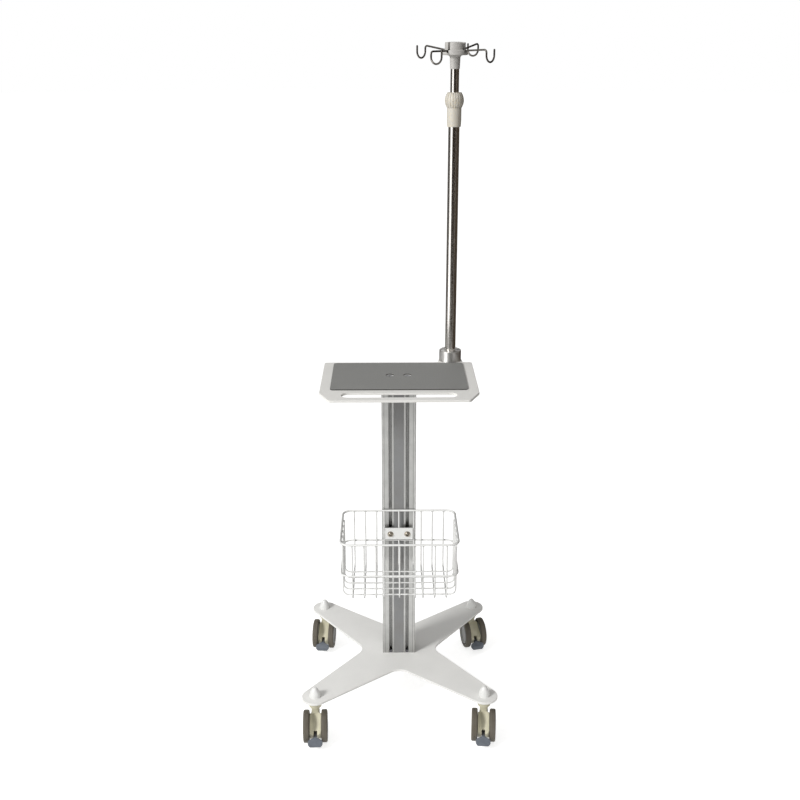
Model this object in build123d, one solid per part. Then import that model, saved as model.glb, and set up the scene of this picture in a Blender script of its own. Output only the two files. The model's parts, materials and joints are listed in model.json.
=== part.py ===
from build123d import *
from math import acos, cos, radians, sin, tan
import os

# A rolling instrument stand: a star base on four twin-wheel casters, a slotted aluminium column,
# an instrument tray with a handle slot, a telescopic pole with folding hooks and a wire basket.
# Every length is in millimetres. The stand faces -Y. Parts are drawn with the column's axis on Z
# and the floor at Z = 0, and the whole stand is then centred on its footprint.

# ---- fits shared by every mechanism
running = 0.05              # radial clearance of a shaft that turns or slides in its bore
face_gap = 0.3              # clearance between faces that pass each other
side_gap = 0.5              # clearance beside a wheel, a lever or a hook eye
screw_clearance = 0.5       # radial clearance of a screw in a drilled hole
weld_gap = 0.02             # wires are laid this close where they are welded

# ---- star base
stem_spacing = 395.0        # between caster stems, both ways
mount_height = 99.0         # floor to the underside of the base plate
base_thickness = 5.0
base_edge = 0.8             # broken upper edge
lobe_radius = 31.0          # round tip of an arm
arm_root_radius = 67.0      # the arms' flanks are tangent to this circle
notch_radius = 32.0         # round corner between two arms

# ---- caster stems and their nuts
stem_radius = 5.0
stem_flange_radius = 12.0
stem_flange = 2.0
stem_reach = 14.0           # into the caster's collar
stem_end = 3.0              # thread left above the nut
washer_radius = 10.0
washer_thickness = 2.0
nut_across_flats = 16.0
nut_height = 8.0
cap_radius = 13.0
cap_height = 24.0
cap_nose = 6.5              # radius of the cap's round top
cap_wall = 1.5

# ---- casters, from the swivel axis; each one trails towards -Y when its heading is 0
wheel_radius = 37.5
wheel_width = 14.0
swivel_offset = 22.0
housing_width = 27.0        # the moulded body between the two wheels
housing_radius = 28.5       # round its axle
housing_floor = 13.0        # height of its flat underside
neck_width = 14.5
neck_depth = 16.5
neck_flare = 2.5            # the neck's ends are this much wider than its waist, each way
neck_notch_radius = 6.5
neck_notch_height = 69.0
collar_radius = 15.0
collar_height = 18.0
collar_rim = 1.0
housing_edge = 1.2
hollow_land = 1.2           # flat rim on each side of the hollow front
hollow_neck_depth = 2.0     # the hollow front starts shallow under the neck
hollow_foot_depth = 9.0     # and is deepest above the pedal
lever_slot_width = 8.0
lever_slot_top = 38.0
axle_radius = 4.0
hub_radius = 26.0
hub_dish_radius = 20.0
hub_dish = 2.0
hub_cap = 2.5
tread_round = 3.6
pivot_y = -36.0             # the pedal's cross pin
pivot_height = 24.0
pivot_radius = 2.0
pedal_width = 34.0
pedal_nose = 70.0           # reach of the pedal's nose ahead of the swivel axis
pedal_point = 57.0          # reach of the point that enters the housing
pedal_top = 31.0
pedal_bottom = 13.5
pedal_corner = 5.0
lever_height = 8.0

# ---- column, an 80 x 40 slotted extrusion
column_width = 80.0
column_depth = 40.0
column_corner = 1.5
slot_pitch = 40.0
slot_neck = 8.0
slot_lip = 4.5
slot_cavity = 20.0
slot_shoulder = 3.0
slot_floor = 9.0
slot_depth = 12.25
core_radius = 4.1
chamber_width = 13.0
chamber_depth = 30.0
strip_width = 24.0
strip_recess = 1.2
strip_thickness = 1.0
line_width = 0.8            # fine grooves beside the column's corners
line_inset = 4.8
bolt_radius = 4.0
bolt_head_radius = 6.5
bolt_head = 8.0
bolt_reach = 25.0

# ---- tray
tray_top = 825.0
tray_thickness = 5.0
tray_width = 350.0
tray_back = 104.0
tray_front = 168.0
tray_bevel_width = 23.0
tray_bevel_depth = 50.0
tray_corner = 6.0
tray_edge = 0.8
handle_length = 252.0
handle_width = 30.0
handle_inset = 19.5         # from the tray's front edge to the slot
tab_radius = 28.5
tab_root = 8.0
mat_width = 304.0
mat_depth = 194.0
mat_centre_y = -4.0
mat_thickness = 2.0
mat_corner = 8.0
mat_hole_radius = 9.0
tray_screw_head_radius = 7.0
tray_screw_head = 3.0       # depth of the countersink

# ---- pole
pole_inset = 51.0           # tray's side edge to the pole
pole_behind = 16.0          # tray's back edge to the pole
socket_radius = 26.0
socket_height = 26.0
socket_edge = 1.0
socket_screw_pitch = 38.5
socket_screw_radius = 2.5
socket_screw_head_radius = 4.25
socket_screw_head = 5.0
outer_pole_radius = 12.5
outer_pole_wall = 1.2
inner_pole_radius = 9.5
inner_pole_wall = 1.0
lock_height = 1367.0        # floor to the lower rim of the lock
sleeve_height = 40.5
sleeve_foot_radius = 15.2
sleeve_radius = 16.0
sleeve_socket = 36.0        # length of the outer pole inside the sleeve
spigot_radius = 13.6
spigot_height = 14.0
knob_height = 32.5
knob_radius = 21.0
knob_groove_count = 20
knob_groove_radius = 1.2
collet_wall_gap = 0.1
collet_length = 50.0
inner_pole_showing = 49.0   # between the knob and the hook head
pole_lift = 400.0           # how far the hook head rises
pole_overlap = 60.0         # sliding pole left in the guide bush's reach when raised
foot_length = 30.0

# ---- hook head
head_foot_radius = 10.6     # the neck's lower rim
head_neck_radius = 11.6
head_neck_height = 22.8
head_flare = 6.0            # height of the sloping underside
head_skirt_radius = 27.8
head_skirt_height = 10.0
head_crown_radius = 22.6
head_crown_height = 17.2
head_dome = 1.4
head_edge = 0.8
head_socket = 30.0          # length of the inner pole inside the head
hook_first = -41.0          # azimuth of the first hook, degrees
hook_rises = (2.5, 12.5, 9.0, -0.5)     # how far each arm rises at rest, degrees
hook_wire_radius = 2.0
hook_pivot_radius = 17.0
hook_pivot_drop = 1.4       # below the skirt's upper edge
hook_pin_radius = 1.5
hook_pin_length = 15.0
hook_eye_radius = 4.0
hook_reach = 83.5
hook_knee = 6.0
hook_bend = 14.2            # radius of the round bottom
hook_drop = 25.2
hook_tip = 25.0

# ---- basket
basket_height = 496.5       # floor to the rim wire's centre
rim_radius = 2.5
band_radius = 2.0
wire_radius = 1.75
basket_width = 263.0        # rim wire, centre to centre
basket_depth = 176.0
basket_corner = 20.0
band_drop = 77.5
floor_drop = 139.0          # rim centre to the centre of the long floor wires
long_wire_pitch = 26.4
long_wire_pairs = 4
bracket_wire_x = 35.0       # the pair of wires that frames the bracket
cross_wire_count = 5
cross_wire_pitch = 26.4
cross_wire_first = 72.2     # column axis to the rearmost cross wire
wire_bend = 13.0
bracket_width = 66.0
bracket_height = 30.0
bracket_drop = 72.0         # rim wire's centre to the bracket's lower edge
bracket_thickness = 2.0
bracket_screw_height = 14.0
bracket_screw_radius = 3.0
bracket_screw_head_radius = 6.0
bracket_screw_head = 4.0
slot_nut_margin = 2.0       # beside the nut in the cavity
slot_nut_height = 22.0

# ---- where the four casters stand and how each one has swung, in degrees
casters = {
    "front_left": (-1, -1, 2.0),
    "front_right": (1, -1, -5.0),
    "rear_left": (-1, 1, -4.0),
    "rear_right": (1, 1, 12.0),
}

# ---- levels and reaches that follow from the sizes above
base_top = mount_height + base_thickness
tray_under = tray_top - tray_thickness
pole_x = tray_width / 2 - pole_inset
pole_y = tray_back + pole_behind
column_length = tray_under - base_top
column_face = column_depth / 2
knob_level = lock_height + sleeve_height
head_level = knob_level + knob_height + inner_pole_showing
skirt_level = head_level + head_neck_height + head_flare
crown_level = skirt_level + head_skirt_height
hook_level = crown_level - hook_pivot_drop
inner_pole_top = head_level + head_socket
collet_top = knob_level + spigot_height
collet_bottom = collet_top - collet_length
inner_pole_bottom = collet_bottom - pole_lift - pole_overlap
rim_y = -column_face - rim_radius
bracket_foot = basket_height - bracket_drop
collar_top = mount_height - stem_flange - face_gap


def turned(*corners):
    """A solid of revolution about Z from a closed outline of (radius, height) corners."""
    return revolve(Plane.XZ * make_face(Polyline(*corners, close=True)), Axis.Z)


def tube(radius, wall, bottom, top):
    """A round tube on Z between two heights."""
    return Pos(0, 0, bottom) * extrude(Circle(radius) - Circle(radius - wall), top - bottom)


def rod(radius, bottom, top):
    """A round rod on Z between two heights."""
    return Pos(0, 0, bottom) * extrude(Circle(radius), top - bottom)


def bent_wire(radius, *path):
    """A round wire swept along a chain of lines and arcs."""
    route = Wire(path)
    start = Plane(route @ 0, z_dir=route % 0)
    return sweep(start * Circle(radius), route)


def stations():
    """The corner of every caster stem, as (name, place)."""
    half = stem_spacing / 2
    return [(name, Pos(sx * half, sy * half)) for name, (sx, sy, heading) in casters.items()]


def at_stations(solid):
    """Copies of one solid at the four caster stems."""
    return Compound([place * solid for name, place in stations()])


def at_pole(solid):
    return Pos(pole_x, pole_y) * solid


# ------------------------------------------------------------------ star base

def base_plate():
    outline = Sketch()
    for name, place in stations():
        tip = place * Circle(lobe_radius)
        outline += make_hull([Circle(arm_root_radius).edge(), tip.edge()])
    notches = outline.vertices().filter_by(lambda v: min(abs(v.X), abs(v.Y)) < 1)
    outline = fillet(notches, notch_radius)
    for name, place in stations():
        outline -= place * Circle(stem_radius + screw_clearance)
    for side in (-1, 1):
        outline -= Pos(side * slot_pitch / 2, 0) * Circle(bolt_radius + screw_clearance)
    plate = Pos(0, 0, mount_height) * extrude(outline, base_thickness)
    rim = plate.faces().sort_by(Axis.Z)[-1].outer_wire().edges()
    return chamfer(rim, base_edge)


def caster_stem():
    """Flanged stud: its foot turns in the caster's collar, its thread passes the plate."""
    flange = mount_height - stem_flange
    thread_top = base_top + washer_thickness + nut_height + stem_end
    foot = collar_top - stem_reach
    return rod(stem_radius, foot, thread_top) + rod(stem_flange_radius, flange, mount_height)


def stem_nut():
    """Hexagon nut on a plain washer."""
    washer = tube(washer_radius, washer_radius - stem_radius - running, base_top,
                  base_top + washer_thickness)
    hexagon = RegularPolygon(nut_across_flats / 2, 6, major_radius=False)
    hexagon -= Circle(stem_radius + running)
    nut = Pos(0, 0, base_top + washer_thickness) * extrude(hexagon, nut_height)
    return washer + nut


def nut_cap():
    """Bullet-shaped cover over a caster's nut: a shell whose curved flank meets a round nose."""
    flank = ((cap_height - cap_nose) ** 2 + cap_radius ** 2 - cap_nose ** 2) / (
        cap_radius - cap_nose) / 2
    turn = acos((flank - cap_radius) / (flank - cap_nose))

    def bullet(inset):
        nose = cap_nose - inset
        height = cap_height - inset
        shoulder = (nose * cos(turn), height - nose + nose * sin(turn))
        side = TangentArc((cap_radius - inset, 0), shoulder, tangent=(0, 1))
        top = TangentArc(shoulder, (0, height), tangent=side % 1)
        base = Polyline((0, height), (0, 0), (cap_radius - inset, 0))
        return revolve(Plane.XZ * make_face([side, top, base]), Axis.Z)

    return Pos(0, 0, base_top) * (bullet(0) - bullet(cap_wall))


# ------------------------------------------------------------------ casters

def on_axle(solid):
    """Lays a solid drawn about Z along the wheel axle, its outer end towards +X."""
    return Pos(0, -swivel_offset, wheel_radius) * Rot(0, 90, 0) * solid


def hollow_section(place, depth):
    """A round-bottomed hollow as wide as the housing, with a flat land on each side."""
    half = housing_width / 2 - hollow_land
    floor = ThreePointArc((-half, depth), (0, 0), (half, depth))
    outline = Polyline((half, depth), (housing_width, depth), (housing_width, housing_width),
                       (-housing_width, housing_width), (-housing_width, depth), (-half, depth))
    return place * make_face([floor, outline])


def caster_housing():
    """Moulded body: collar, waisted neck and a hollow-fronted web between the wheels."""
    collar_foot = collar_top - collar_height
    shoulder = neck_notch_height - neck_notch_radius
    neck_reach = neck_depth / 2
    front = -swivel_offset - housing_radius
    axle = Pos(-swivel_offset, wheel_radius) * Circle(housing_radius)
    root = Pos(0, shoulder - neck_reach) * Circle(neck_reach)
    below = Pos(-swivel_offset, housing_floor / 2) * Rectangle(4 * housing_radius, housing_floor)
    drum = extrude(Plane.YZ * (axle - below), housing_width / 2, both=True)
    body = fillet(drum.faces().filter_by(Axis.X).edges(), housing_edge)
    spine = make_hull([axle.edge(), root.edge()]) - below
    body += extrude(Plane.YZ * spine, neck_width / 2 + neck_flare, both=True)

    neck_foot = shoulder - neck_reach
    neck = RectangleRounded(neck_width + 2 * neck_flare, neck_depth, neck_flare)
    body += Pos(0, 0, neck_foot) * extrude(neck, collar_foot + collar_rim - neck_foot)
    for hand in (-1, 1):
        waist = Pos(hand * (neck_width / 2 + neck_notch_radius), 0, neck_notch_height)
        body -= waist * Rot(90, 0, 0) * Cylinder(neck_notch_radius, 4 * housing_radius)
    body += rod(collar_radius, collar_foot, collar_top)
    body += rod(collar_radius + collar_rim, collar_top - collar_height / 3, collar_top)

    # the hollow front deepens from the neck's face down to the pedal's slot
    head = Vector(0, -neck_reach, shoulder)
    foot = Vector(0, front, pivot_height + lever_height)
    fall = foot - head
    shallow = hollow_section(Plane(head, x_dir=(1, 0, 0), z_dir=fall), hollow_neck_depth)
    deep = hollow_section(Plane(foot, x_dir=(1, 0, 0), z_dir=fall), hollow_foot_depth)
    body -= loft([shallow, deep])
    slot_mouth = pivot_y + lever_height - front
    body -= Pos(0, front + slot_mouth / 2, (lever_slot_top + housing_floor) / 2) * Box(
        lever_slot_width, slot_mouth, lever_slot_top - housing_floor)
    body += Pos(0, pivot_y, pivot_height) * Rot(0, 90, 0) * Cylinder(
        pivot_radius, lever_slot_width + 2)
    body -= rod(stem_radius + running, collar_top - stem_reach - face_gap, collar_top)
    body -= on_axle(Cylinder(axle_radius, housing_width))
    return body


def caster_axle():
    reach = housing_width / 2 + side_gap + wheel_width - hub_cap - hub_dish - face_gap
    return on_axle(Cylinder(axle_radius, 2 * reach))


def wheel_hub():
    """Right-hand hub with a dished face; its blind bore turns on the axle."""
    inner = housing_width / 2 + side_gap
    outer = inner + wheel_width
    profile = turned(
        (0, outer - hub_dish - hub_cap), (axle_radius + running, outer - hub_dish - hub_cap),
        (axle_radius + running, inner), (hub_radius, inner), (hub_radius, outer),
        (hub_dish_radius + hub_dish, outer), (hub_dish_radius, outer - hub_dish),
        (0, outer - hub_dish))
    return on_axle(profile)


def wheel_tyre():
    """Right-hand tread ring with round shoulders."""
    inner = housing_width / 2 + side_gap
    section = Pos((hub_radius + wheel_radius) / 2, inner + wheel_width / 2) * Rectangle(
        wheel_radius - hub_radius, wheel_width)
    shoulders = section.vertices().sort_by(Axis.X)[-2:]
    section = fillet(shoulders, tread_round)
    return on_axle(revolve(Plane.XZ * section, Axis.Z))


def brake_pedal():
    """Foot pad with a pointed back edge on a lever that turns on the housing's cross pin."""
    middle = (pedal_top + pedal_bottom) / 2
    lever = make_face(Polyline(
        (pivot_y, pivot_height + lever_height / 2), (-pedal_point - 2, middle + lever_height / 2),
        (-pedal_point - 2, middle - lever_height / 2), (pivot_y, pivot_height - lever_height / 2),
        close=True))
    lever += Pos(pivot_y, pivot_height) * Circle(lever_height / 2)
    lever_width = lever_slot_width - 2 * side_gap
    pedal = extrude(Plane.YZ * lever, lever_width / 2, both=True)

    half = pedal_width / 2
    plan = make_face(Polyline(
        (0, -pedal_point), (half, -pedal_point - 5), (half, -pedal_nose + 2),
        (half - 3, -pedal_nose), (3 - half, -pedal_nose), (-half, -pedal_nose + 2),
        (-half, -pedal_point - 5), close=True))
    pad = extrude(plan, pedal_top)
    flank = make_face(Polyline(
        (-pedal_point, pedal_top), (-pedal_point - 5, pedal_top - 2.5),
        (-pedal_nose + 1, pedal_bottom + 8), (-pedal_nose, pedal_bottom + 5),
        (-pedal_nose, pedal_bottom), (-pedal_point - 3, pedal_bottom + 1),
        (-pedal_point, middle), close=True))
    pad &= extrude(Plane.YZ * flank, half, both=True)
    front = make_face(Polyline(
        (-half, middle), (-half + 0.5, pedal_top - 5), (0, pedal_top + 1),
        (half - 0.5, pedal_top - 5), (half, middle), (half, pedal_bottom + pedal_corner),
        (half - pedal_corner, pedal_bottom), (pedal_corner - half, pedal_bottom),
        (-half, pedal_bottom + pedal_corner), close=True))
    pad &= extrude(Plane.XZ * front, pedal_nose)
    pedal += pad
    bore = Pos(0, pivot_y, pivot_height) * Rot(0, 90, 0) * Cylinder(
        pivot_radius + running, pedal_width)
    return pedal - bore


# ------------------------------------------------------------------ column

def slot_cut():
    """One T-slot, its mouth on the line y = 0 and its floor towards -y."""
    shoulder = slot_lip + slot_shoulder
    return make_face(Polyline(
        (-slot_neck / 2, 1), (slot_neck / 2, 1), (slot_neck / 2, -slot_lip),
        (slot_cavity / 2, -slot_lip), (slot_cavity / 2, -shoulder),
        (slot_floor / 2, -slot_depth), (-slot_floor / 2, -slot_depth),
        (-slot_cavity / 2, -shoulder), (-slot_cavity / 2, -slot_lip),
        (-slot_neck / 2, -slot_lip), close=True))


def column():
    section = RectangleRounded(column_width, column_depth, column_corner)
    for turn in (0, 180):
        for side in (-1, 1):
            section -= Rot(0, 0, turn) * Pos(side * slot_pitch / 2, column_face) * slot_cut()
            groove = side * (column_width / 2 - line_inset)
            section -= Rot(0, 0, turn) * Pos(groove, column_face) * Rectangle(line_width, line_width)
        recess = Rectangle(strip_width, 2 * strip_recess)
        section -= Rot(0, 0, turn) * Pos(0, column_face) * recess
        section -= Rot(0, 0, turn - 90) * Pos(0, column_width / 2) * slot_cut()
    for side in (-1, 1):
        section -= Pos(side * slot_pitch / 2, 0) * Circle(core_radius)
    section -= RectangleRounded(chamber_width, chamber_depth, 2)
    return Pos(0, 0, base_top) * extrude(section, column_length)


def column_strips():
    """Flat cover strips in the shallow recesses of the two broad faces."""
    width = strip_width - 2 * face_gap
    middle = column_face - strip_recess + strip_thickness / 2
    strips = [Pos(0, side * middle) * Rectangle(width, strip_thickness) for side in (-1, 1)]
    return Compound([
        Pos(0, 0, base_top) * extrude(strip, column_length) for strip in strips])


def base_bolts():
    """Socket-head screws from below the star into the column's cores."""
    head = rod(bolt_head_radius, mount_height - bolt_head, mount_height)
    socket = Pos(0, 0, mount_height - bolt_head) * extrude(
        RegularPolygon(bolt_radius * 0.75, 6), bolt_head / 2)
    bolt = head - socket + rod(bolt_radius, mount_height, base_top + bolt_reach)
    return Compound([Pos(side * slot_pitch / 2, 0) * bolt for side in (-1, 1)])


# ------------------------------------------------------------------ tray

def tray_plate():
    half = tray_width / 2
    outline = make_face(Polyline(
        (-half, tray_back), (half, tray_back), (half, -tray_front + tray_bevel_depth),
        (half - tray_bevel_width, -tray_front), (tray_bevel_width - half, -tray_front),
        (-half, -tray_front + tray_bevel_depth), close=True))
    outline = fillet(outline.vertices(), tray_corner)
    tab = Pos(pole_x, pole_y) * Circle(tab_radius)
    tab += Pos(pole_x, (pole_y + tray_back - tab_root) / 2) * Rectangle(
        2 * tab_radius, pole_y - tray_back + tab_root)
    outline += tab
    inner = outline.vertices().filter_by(
        lambda v: abs(v.Y - tray_back) < 0.1 and abs(abs(v.X - pole_x) - tab_radius) < 0.1)
    outline = fillet(inner, tab_root)
    handle_y = -tray_front + handle_inset + handle_width / 2
    outline -= Pos(0, handle_y) * SlotOverall(handle_length, handle_width)
    for side in (-1, 1):
        outline -= Pos(side * slot_pitch / 2, 0) * Circle(bolt_radius + screw_clearance)
        outline -= Pos(pole_x + side * socket_screw_pitch / 2, pole_y) * Circle(
            socket_screw_radius + running)
    plate = Pos(0, 0, tray_under) * extrude(outline, tray_thickness)
    rim = plate.faces().sort_by(Axis.Z)[-1].outer_wire().edges()
    plate = chamfer(rim, tray_edge)
    sink = Cone(bolt_radius + running, tray_screw_head_radius + running, tray_screw_head)
    for side in (-1, 1):
        plate -= Pos(side * slot_pitch / 2, 0, tray_top - tray_screw_head / 2) * sink
    return plate


def tray_mat():
    outline = Pos(0, mat_centre_y) * RectangleRounded(mat_width, mat_depth, mat_corner)
    for side in (-1, 1):
        outline -= Pos(side * slot_pitch / 2, 0) * Circle(mat_hole_radius)
    return Pos(0, 0, tray_top) * extrude(outline, mat_thickness)


def tray_screws():
    """Countersunk screws through the tray into the column's cores, flush with the tray."""
    seat = tray_top - tray_screw_head
    screw = turned((0, tray_under - bolt_reach), (bolt_radius, tray_under - bolt_reach),
                   (bolt_radius, seat), (tray_screw_head_radius, tray_top), (0, tray_top))
    screw -= Pos(0, 0, tray_top - 2) * extrude(RegularPolygon(bolt_radius * 0.7, 6), 3)
    return Compound([Pos(side * slot_pitch / 2, 0) * screw for side in (-1, 1)])


# ------------------------------------------------------------------ pole

def pole_socket():
    """Turned ring that holds the outer pole's foot, with two counterbored screws."""
    ring = tube(socket_radius, socket_radius - outer_pole_radius - running, tray_top,
                tray_top + socket_height)
    rims = ring.faces().sort_by(Axis.Z)[-1].edges()
    ring = chamfer(rims, socket_edge)
    for side in (-1, 1):
        place = Pos(side * socket_screw_pitch / 2, 0)
        ring -= place * rod(socket_screw_radius + screw_clearance, tray_top, tray_top + socket_height)
        seat = tray_top + socket_height - socket_screw_head - 1
        ring -= place * rod(socket_screw_head_radius + screw_clearance, seat, tray_top + socket_height)
    return at_pole(ring)


def socket_screws():
    seat = tray_top + socket_height - socket_screw_head - 1
    screw = rod(socket_screw_radius, tray_under, seat)
    head = rod(socket_screw_head_radius, seat, seat + socket_screw_head)
    head -= Pos(0, 0, seat + 2) * extrude(RegularPolygon(socket_screw_radius * 0.92, 6), 5)
    screw += head
    return at_pole(Compound([
        Pos(side * socket_screw_pitch / 2, 0) * screw for side in (-1, 1)]))


def outer_pole():
    return at_pole(tube(outer_pole_radius, outer_pole_wall, tray_top, lock_height + sleeve_socket))


def lock_sleeve():
    """Tapered sleeve on the outer pole's end; its spigot carries the knob."""
    grip = outer_pole_radius + running
    guide = outer_pole_radius - outer_pole_wall
    stop = lock_height + sleeve_socket
    return at_pole(turned(
        (grip, lock_height), (sleeve_foot_radius, lock_height),
        (sleeve_radius, lock_height + sleeve_height * 0.35), (sleeve_radius, knob_level),
        (spigot_radius, knob_level), (spigot_radius, knob_level + spigot_height),
        (guide, knob_level + spigot_height), (guide, stop), (grip, stop)))


def lock_collet():
    """Plain guide bush: lined to the outer pole, it carries the sliding pole."""
    outside = outer_pole_radius - outer_pole_wall - collet_wall_gap
    wall = outside - inner_pole_radius - running
    return at_pole(tube(outside, wall, collet_bottom, collet_top))


def lock_knob():
    """Bulb-shaped clamping knob with grooves that follow its side from rim to rim."""
    low = knob_level + face_gap
    high = knob_level + knob_height
    bore = spigot_radius + running
    lip = inner_pole_radius + face_gap
    roof = knob_level + spigot_height + face_gap
    side = Spline((sleeve_radius + 0.6, low), (knob_radius, low + knob_height * 0.42),
                  (sleeve_radius - 0.6, high))
    face = make_face([
        side,
        Line(side @ 1, (lip, high)),
        Line((lip, high), (lip, roof + bore - lip)),
        Line((lip, roof + bore - lip), (bore, roof)),
        Line((bore, roof), (bore, low)),
        Line((bore, low), side @ 0)])
    knob = revolve(Plane.XZ * face, Axis.Z)
    route = Plane.XZ * side
    groove = sweep(Plane(route @ 0, z_dir=route % 0) * Circle(knob_groove_radius), route)
    for index in range(knob_groove_count):
        knob -= Rot(0, 0, 360 / knob_groove_count * (index + 0.5)) * groove
    return at_pole(knob)


def inner_pole():
    return at_pole(tube(inner_pole_radius, inner_pole_wall, inner_pole_bottom, inner_pole_top))


def pole_foot():
    """Guide ring on the sliding pole's lower end, running in the outer pole."""
    bottom = inner_pole_bottom
    outside = outer_pole_radius - outer_pole_wall - running
    plug = inner_pole_radius - inner_pole_wall
    ring = turned((0, bottom - 3), (outside, bottom - 3), (outside, bottom + foot_length),
                  (inner_pole_radius, bottom + foot_length), (inner_pole_radius, bottom),
                  (0, bottom))
    return at_pole(ring + rod(plug, bottom - 1, bottom + foot_length / 2))


def hook_turn(index):
    """Turns a solid drawn towards +X to the place of one hook."""
    return Rot(0, 0, hook_first + 360 / len(hook_rises) * index)


def hook_head():
    """Neck, flared skirt and crown with a radial slot for each hook, open upwards."""
    crown_top = crown_level + head_crown_height
    neck_top = skirt_level - head_flare
    seat = head_level + head_socket
    flare = Spline((head_neck_radius, neck_top), (head_skirt_radius - head_edge, skirt_level),
                   tangents=[(0, 1), (1, 0.25)])
    dome = TangentArc((0, crown_top), (head_crown_radius - head_edge, crown_top - head_dome),
                      tangent=(1, 0))
    outline = Polyline(
        (head_skirt_radius - head_edge, skirt_level), (head_skirt_radius, skirt_level + head_edge),
        (head_skirt_radius, crown_level - head_edge), (head_skirt_radius - head_edge, crown_level),
        (head_crown_radius, crown_level + head_edge),
        (head_crown_radius, crown_top - head_dome - head_edge),
        (head_crown_radius - head_edge, crown_top - head_dome))
    core = Polyline(
        (0, crown_top), (0, seat), (inner_pole_radius, seat), (inner_pole_radius, head_level),
        (head_foot_radius, head_level), (head_neck_radius, neck_top))
    head = revolve(Plane.XZ * make_face([core, flare, outline, dome]), Axis.Z)

    slot_width = 2 * (hook_wire_radius + side_gap)
    inner = hook_pivot_radius - hook_eye_radius - side_gap
    floor = hook_level - hook_eye_radius - side_gap
    depth = head_skirt_radius + head_edge - inner
    height = crown_top - floor
    slot = Pos(inner + depth / 2, 0, floor + height / 2) * Box(depth, slot_width, height)
    pin = Pos(hook_pivot_radius, 0, hook_level) * Rot(90, 0, 0) * Cylinder(
        hook_pin_radius, hook_pin_length)
    for index in range(len(hook_rises)):
        head -= hook_turn(index) * slot
        head -= hook_turn(index) * pin
    return at_pole(head)


def hook_pins():
    pin = Pos(hook_pivot_radius, 0, hook_level) * Rot(90, 0, 0) * Cylinder(
        hook_pin_radius, hook_pin_length)
    return at_pole(Compound([hook_turn(index) * pin for index in range(len(hook_rises))]))


def hook(rise):
    """One wire hook: an eye, a rising arm and a round hook across the arm's end."""
    rise = radians(rise)
    knee_x = hook_reach - hook_pivot_radius
    knee_start = knee_x - hook_knee
    end_height = knee_start * tan(rise)
    bottom = end_height - hook_drop
    centre = bottom + hook_bend
    arm = Line((0, 0, 0), (knee_start, 0, end_height))
    knee_low = end_height - hook_knee * cos(rise) / (1 + sin(rise))
    knee = TangentArc(arm @ 1, (knee_x, 0, knee_low), tangent=arm % 1)
    shank = Line(knee @ 1, (knee_x, 0, centre))
    bend = ThreePointArc((knee_x, 0, centre), (knee_x, hook_bend, bottom),
                         (knee_x, 2 * hook_bend, centre))
    tip = Line((knee_x, 2 * hook_bend, centre), (knee_x, 2 * hook_bend, bottom + hook_tip))
    wire = bent_wire(hook_wire_radius, arm, knee, shank, bend, tip)
    eye = Rot(90, 0, 0) * Cylinder(hook_eye_radius, 2 * hook_wire_radius)
    solid = wire + eye - Rot(90, 0, 0) * Cylinder(hook_pin_radius + running, 3 * hook_wire_radius)
    return Pos(hook_pivot_radius, 0, hook_level) * solid


# ------------------------------------------------------------------ basket

def wire_loop(radius, height, inset):
    """A closed rectangular hoop of round wire with round corners."""
    width = basket_width - 2 * inset
    depth = basket_depth - 2 * inset
    corner = basket_corner - inset
    centre_y = rim_y - basket_depth / 2
    hoop = Pos(0, centre_y, height) * RectangleRounded(width, depth, corner)
    route = hoop.face().outer_wire()
    start = Plane(route @ 0, z_dir=route % 0)
    return sweep(start * Circle(radius), route)


def u_shape(span, drop):
    """An upright U of wire in the XZ plane, its legs up to z = 0 and its floor at -drop."""
    half = span / 2
    bend = wire_bend
    dip = bend * (1 - cos(radians(45)))
    left = Line((-half, 0, 0), (-half, 0, bend - drop))
    first = ThreePointArc((-half, 0, bend - drop), (dip - half, 0, dip - drop),
                          (bend - half, 0, -drop))
    base = Line((bend - half, 0, -drop), (half - bend, 0, -drop))
    second = ThreePointArc((half - bend, 0, -drop), (half - dip, 0, dip - drop),
                           (half, 0, bend - drop))
    right = Line((half, 0, bend - drop), (half, 0, 0))
    return bent_wire(wire_radius, left, first, base, second, right)


def long_wires():
    """Wires that run front to back: down the rear, along the floor and up the front."""
    gather = rim_radius + wire_radius + weld_gap
    span = basket_depth - 2 * gather
    centre_y = rim_y - basket_depth / 2
    places = [0.0, -bracket_wire_x, bracket_wire_x]
    for index in range(2, long_wire_pairs + 1):
        places += [-index * long_wire_pitch, index * long_wire_pitch]
    wire = u_shape(span, floor_drop)
    return Compound([
        Pos(x, centre_y, basket_height) * Rot(0, 0, 90) * wire for x in places])


def cross_wires():
    """Wires that run side to side, lying on the long wires, their legs up both sides."""
    gather = rim_radius + wire_radius + weld_gap
    span = basket_width - 2 * gather
    drop = floor_drop - 2 * wire_radius - weld_gap
    wire = u_shape(span, drop)
    return Compound([
        Pos(0, -cross_wire_first - index * cross_wire_pitch, basket_height) * wire
        for index in range(cross_wire_count)])


def basket_bracket():
    """Flat plate that clamps the rear wires to the column."""
    back = -rim_y + rim_radius + 2 * wire_radius + 2 * weld_gap
    plate = Box(bracket_width, bracket_thickness, bracket_height)
    place = Pos(0, -back - bracket_thickness / 2, bracket_foot + bracket_height / 2)
    plate = place * plate
    for side in (-1, 1):
        hole = Rot(90, 0, 0) * Cylinder(bracket_screw_radius + screw_clearance, 3 * bracket_thickness)
        plate -= Pos(side * slot_pitch / 2, -back, bracket_foot + bracket_screw_height) * hole
    return plate


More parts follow.
